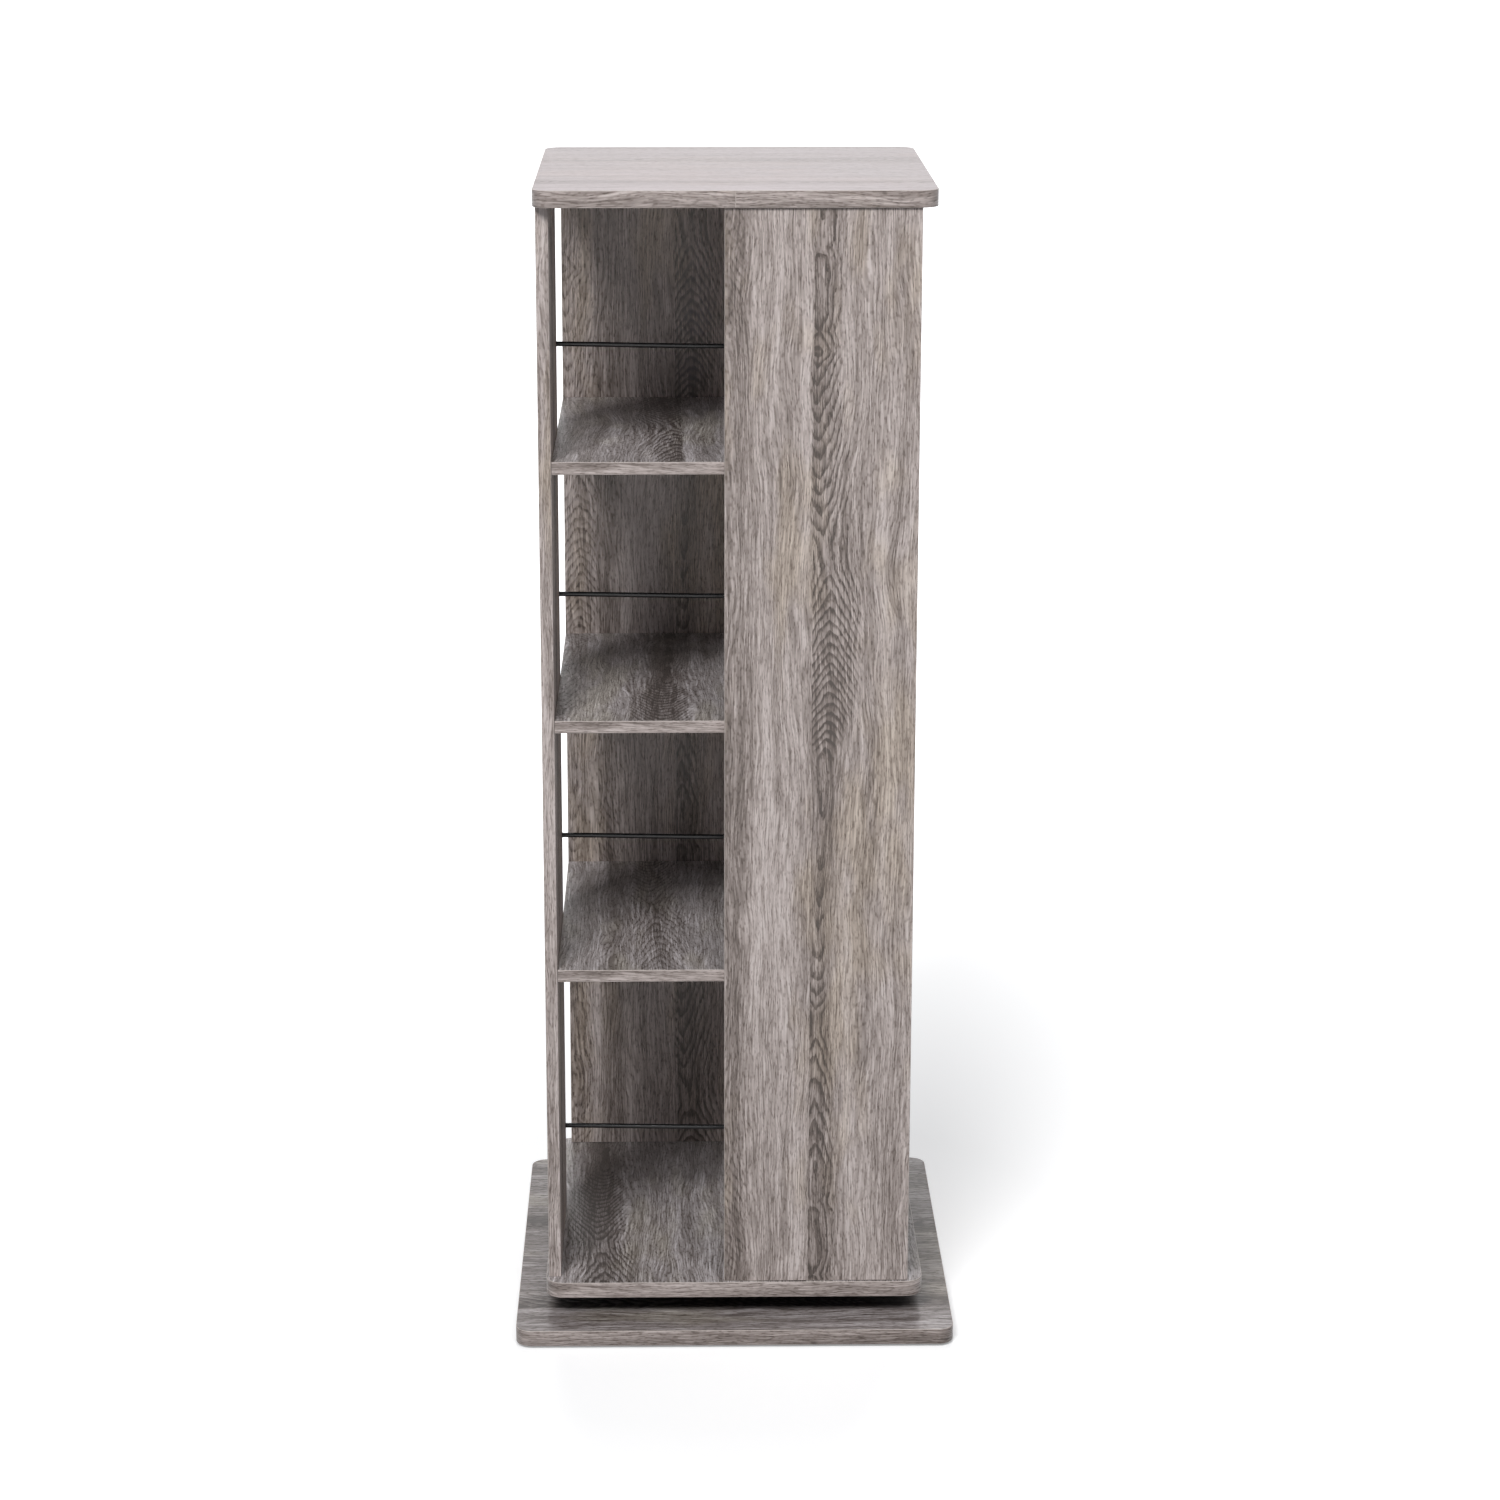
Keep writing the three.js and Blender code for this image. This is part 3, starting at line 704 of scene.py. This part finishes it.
def add_shelves():
    for level in LEVELS:
        node = "shelf_" + level
        # The shelves' sheet is drawn darker and cooler, as painted shade and painted cool light
        piece = board(node, Z, FLAT_SHADED_OAK_SHEET, OAK_BAND)
        place = cam_place(level).translation
        for n in range(len(SIDES)):
            mouth = Matrix.Rotation(n * QUARTER, 4, "Z") @ place
            drill(piece, mouth, UP, CAM_RADIUS + CAM_FIT, CAM_INSET + CAM_HEIGHT + CAM_FIT)
        lay_print(piece, node, Z, ALONG_Y, SHELF_PRINTS[level])
        done(piece, "tower", node)


# Where each side panel's print starts, outside and inside. The front's, which is left open here, starts
# in its top left corner.
PANEL_PRINTS = {
    "front": (None, (220, 100)),
    "right": ((240, 300), (60, 700)),
    "back": ((300, 620), (60, 820)),
    "left": ((120, 40), (310, 360)),
}


def add_side_panels():
    panel_low, panel_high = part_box("side_panel_front")
    corner_start = ((panel_high[X] - panel_low[X]) / 2 / MM, (panel_high[Z] - panel_low[Z]) / 2 / MM)
    for n, side in enumerate(SIDES):
        node = "side_panel_" + side
        turn = Matrix.Rotation(n * QUARTER, 4, "Z")
        outwards = turn @ Vector((0, -1, 0))
        thin = X if n % 2 else Y
        piece = board(node, thin, OAK_SHEET, OAK_SHEET)

        # The right and left panels hold the rods from side to side, which bow down between them
        rods = "side_to_side" if n % 2 else "front_to_back"
        for bay in BAYS:
            low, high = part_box(f"rod_{bay}_{rods}")
            height = high[Z] - ROD_RADIUS if n % 2 else low[Z] + ROD_RADIUS
            mouth = turn @ Vector((0, panel_high[Y], 0)) + UP * height
            drill(piece, mouth, outwards, ROD_RADIUS + ROD_HOLE_FIT, ROD_HOLE_DEPTH)
        drill(piece, turn @ cam_place("top").translation, outwards, CAM_RADIUS + CAM_FIT,
              CAM_INSET + CAM_HEIGHT + CAM_FIT)
        outer, inner = PANEL_PRINTS[side]
        outer = outer or corner_start
        lay_print(piece, node, thin, -UP, (outer, inner) if outwards[thin] > 0 else (inner, outer))
        done(piece, "tower", node)


# Rods, fittings and glides
def rod(node, along, down):
    """A painted rod that bows where its neighbour crosses it."""
    low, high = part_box(node)
    middle = (low + high) / 2
    bow = (high[Z] - low[Z] - 2 * ROD_RADIUS) * (-1 if down else 1)
    start = Vector((middle[X], middle[Y], high[Z] - ROD_RADIUS if down else low[Z] + ROD_RADIUS))
    end = start.copy()
    start[along], end[along] = low[along], high[along]
    piece = cylinder(node + "_painted", start, end, ROD_RADIUS)
    bpy.ops.object.mode_set(mode="EDIT")
    select(piece, "EDGE", lambda edge: not runs_along(edge, along))
    bpy.ops.mesh.bevel(offset=ROD_CHAMFER, segments=CHAMFER_STEPS, affect="EDGES")
    select(piece, "EDGE", lambda edge: runs_along(edge, along))
    bpy.ops.mesh.subdivide(number_cuts=ROD_STEPS)
    bpy.ops.object.mode_set(mode="OBJECT")
    reach = high[along] + ROD_END_GAP - ROD_HOLE_DEPTH
    for point in piece.data.vertices:
        inwards = max(0, 1 - abs(point.co[along]) / reach)
        point.co[Z] += bow * sum(share * inwards ** (n + 1) for n, share in enumerate(BOW_SHARES))
    piece.data.materials.append(POWDER_COAT)
    smooth(piece)
    done(piece, "tower", node)


def add_rods():
    for bay in BAYS:
        rod(f"rod_{bay}_side_to_side", X, True)
        rod(f"rod_{bay}_front_to_back", Y, False)


def cam_lock():
    """A cast disc with a crossed slot and its post. The board's face is at the origin, +Z into it."""
    low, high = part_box("cam_lock_lower_front")
    face = Vector((0, 0, CAM_INSET))
    lock = cylinder("cam_lock", face, face + UP * CAM_HEIGHT, CAM_RADIUS)
    bpy.ops.object.mode_set(mode="EDIT")
    select(lock, "EDGE", lambda edge: not runs_along(edge, Z))
    bpy.ops.mesh.bevel(offset=CAM_RIM, segments=CHAMFER_STEPS, affect="EDGES")
    bpy.ops.object.mode_set(mode="OBJECT")
    post_end = low[Y] - (high[Y] - CAM_RADIUS)
    board_middle = (CAM_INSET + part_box("shelf_lower")[1][Z] - low[Z]) / 2
    post = cylinder("post", Vector((0, 0, board_middle)), Vector((0, post_end, board_middle)), POST_RADIUS)
    combine(lock, post, "UNION")
    for size in ((SLOT_LENGTH, SLOT_WIDTH), (SLOT_WIDTH, SLOT_LENGTH)):
        half = Vector((size[0] / 2, size[1] / 2, SLOT_DEPTH))
        combine(lock, box("slot", face - half, face + half), "DIFFERENCE")
    lock.data.materials.clear()
    lock.data.materials.append(ZINC_CASTING)
    smooth(lock)
    return lock


def cam_place(level):
    """Where the front cam lock of a shelf, or of the top, stands: the middle of its disc's face."""
    low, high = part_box(f"cam_lock_{level}_front")
    across = (low[X] + high[X]) / 2
    if level == "top":
        turn = Matrix.Rotation(QUARTER, 4, "X") @ Matrix.Rotation(math.pi, 4, "Z")
        return Matrix.Translation((across, high[Y] + CAM_INSET, low[Z] + CAM_RADIUS)) @ turn
    return Matrix.Translation((across, high[Y] - CAM_RADIUS, low[Z] - CAM_INSET))


def add_cam_locks():
    pattern = cam_lock()
    for level in LEVELS + ["top"]:
        for n, side in enumerate(SIDES):
            node = f"cam_lock_{level}_{side}"
            piece = pattern.copy()
            piece.data = pattern.data.copy()
            piece.name = node + "_cast"
            bpy.context.scene.collection.objects.link(piece)
            piece.data.transform(Matrix.Rotation(n * QUARTER, 4, "Z") @ cam_place(level))
            done(piece, "tower", node)
    bpy.data.objects.remove(pattern)


def add_glides():
    for n in range(1, len(SIDES) + 1):
        node = f"base_glide_{n}"
        low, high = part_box(node)
        middle = (low + high) / 2
        start = Vector((middle[X], middle[Y], low[Z]))
        piece = cylinder(node + "_moulded", start, start + UP * (high[Z] - low[Z]), (high[X] - low[X]) / 2)
        bpy.ops.object.mode_set(mode="EDIT")
        select(piece, "EDGE", lambda edge: not runs_along(edge, Z) and edge.verts[0].co[Z] < middle[Z])
        bpy.ops.mesh.bevel(offset=GLIDE_EDGE, segments=GLIDE_STEPS, affect="EDGES")
        bpy.ops.object.mode_set(mode="OBJECT")
        piece.data.materials.append(GLIDE_PLASTIC)
        smooth(piece)
        done(piece, "base", node)


def dress_hidden_nodes():
    """The bearing, its screws and the block keep their CAD shapes and get their finishes."""
    for name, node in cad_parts.items():
        if name.startswith("bearing") or "screw" in name:
            node.material_slots[0].material = ZINC_PLATE
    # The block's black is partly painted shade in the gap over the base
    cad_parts["turntable_block"].material_slots[0].material = BLACK_BOARD_AND_GAP_SHADE


# Studio: a white floor that reads as white in the picture and keeps the tower's soft shadow, but
# throws little light back at the tower. The sky is white to the eye and dim and cool as a light.
FLOOR_SIDE = 80
FLOOR_WHITE = "#F2F2F2"
FLOOR_BOUNCE = "#767676"
SKY_BOUNCE = "#E4ECFF"
SKY_STRENGTH = 0.08

# The floor glows for the eye alone: weakly near the tower, where the shadow lies, and fully from the
# end of the glow's rise on, in metres from the tower's axis
NEAR_GLOW = 0.3
FAR_GLOW = 1
GLOW_START = 0.4
GLOW_END = 2

# The lamps are discs, in metres, that all point at one place
LAMP_DISTANCE = 14
LAMP_SIZE = 5.1
LAMP_TARGET = Vector((0, 0, 0.45))

# Lamps: name, degrees to the right of the front, degrees up, and watts
LAMPS = [
    ("key", -20, 46, 1355),
    ("fill", 25, 46, 455),
    ("back", 176, 55, 600),
]


def seen_ray(tree):
    """1 for the rays that show the studio to the eye, straight or in a gloss, and 0 for its light."""
    rays = add(tree, "LightPath")
    seen = add(tree, "Math", {0: rays.outputs["Is Camera Ray"], 1: rays.outputs["Is Glossy Ray"]},
               operation="MAXIMUM")
    return add(tree, "Math", {0: seen, 1: rays.outputs["Is Transmission Ray"]}, operation="MAXIMUM")


def add_floor():
    bpy.ops.object.select_all(action="DESELECT")
    bpy.ops.mesh.primitive_plane_add(size=FLOOR_SIDE)
    floor = bpy.context.object
    floor.name = "floor"
    painted = bpy.data.materials.new("white_studio_floor")
    painted.use_nodes = True
    tree = painted.node_tree
    tree.nodes.clear()
    away = add(tree, "VectorMath", {0: add(tree, "TexCoord").outputs["Object"]}, operation="LENGTH")
    glowing = add(tree, "MapRange", {"Value": away.outputs["Value"], "From Min": GLOW_START,
                                     "From Max": GLOW_END, "To Min": NEAR_GLOW, "To Max": FAR_GLOW})
    glow = add(tree, "Emission", {"Color": grey(1), "Strength": glowing})
    white = add(tree, "AddShader", {0: add(tree, "BsdfDiffuse", {"Color": colour(FLOOR_WHITE)}), 1: glow})
    bounce = add(tree, "BsdfDiffuse", {"Color": colour(FLOOR_BOUNCE)})
    mixed = add(tree, "MixShader", {0: seen_ray(tree), 1: bounce, 2: white})
    add(tree, "OutputMaterial", {"Surface": mixed})
    floor.data.materials.append(painted)


def add_sky():
    world = bpy.data.worlds.new("studio")
    bpy.context.scene.world = world
    world.use_nodes = True
    tree = world.node_tree
    tree.nodes.clear()
    seen = seen_ray(tree)
    strength = add(tree, "MapRange", {"Value": seen, "To Min": SKY_STRENGTH, "To Max": 1})
    shade = add(tree, "ValToRGB", {0: seen}, [(0, colour(SKY_BOUNCE)), (1, grey(1))])
    sky = add(tree, "Background", {"Color": shade, "Strength": strength})
    add(tree, "OutputWorld", {"Surface": sky})


def add_lamps():
    for name, turn, height, power in LAMPS:
        level = Matrix.Rotation(math.radians(turn), 3, "Z") @ Vector((0, -1, 0))
        away = level * math.cos(math.radians(height)) + UP * math.sin(math.radians(height))
        lamp = bpy.data.lights.new(name, "AREA")
        lamp.shape = "DISK"
        lamp.size = LAMP_SIZE
        lamp.energy = power
        holder = bpy.data.objects.new(name, lamp)
        bpy.context.scene.collection.objects.link(holder)
        holder.location = LAMP_TARGET + away * LAMP_DISTANCE
        holder.rotation_euler = away.to_track_quat("Z", "Y").to_euler()


def add_camera():
    camera = bpy.data.cameras.new("photo_camera")
    camera.sensor_width = SENSOR_WIDTH
    camera.lens = FOCAL_PIXELS / PHOTO_SIDE * SENSOR_WIDTH
    camera.shift_x = 0.5 - CENTRE_PIXEL[0] / PHOTO_SIDE
    camera.shift_y = CENTRE_PIXEL[1] / PHOTO_SIDE - 0.5
    camera.clip_end = VIEW_END
    holder = bpy.data.objects.new("photo_camera", camera)
    bpy.context.scene.collection.objects.link(holder)
    holder.location = CAMERA_PLACE
    holder.rotation_euler = (math.radians(90 - CAMERA_DOWN), 0, -math.radians(CAMERA_RIGHT))
    bpy.context.scene.camera = holder


add_camera()
add_floor()
add_sky()
add_lamps()
add_caps_and_base()
add_shelves()
add_side_panels()
add_rods()
add_cam_locks()
add_glides()
dress_hidden_nodes()
bpy.context.scene.view_settings.view_transform = "Standard"
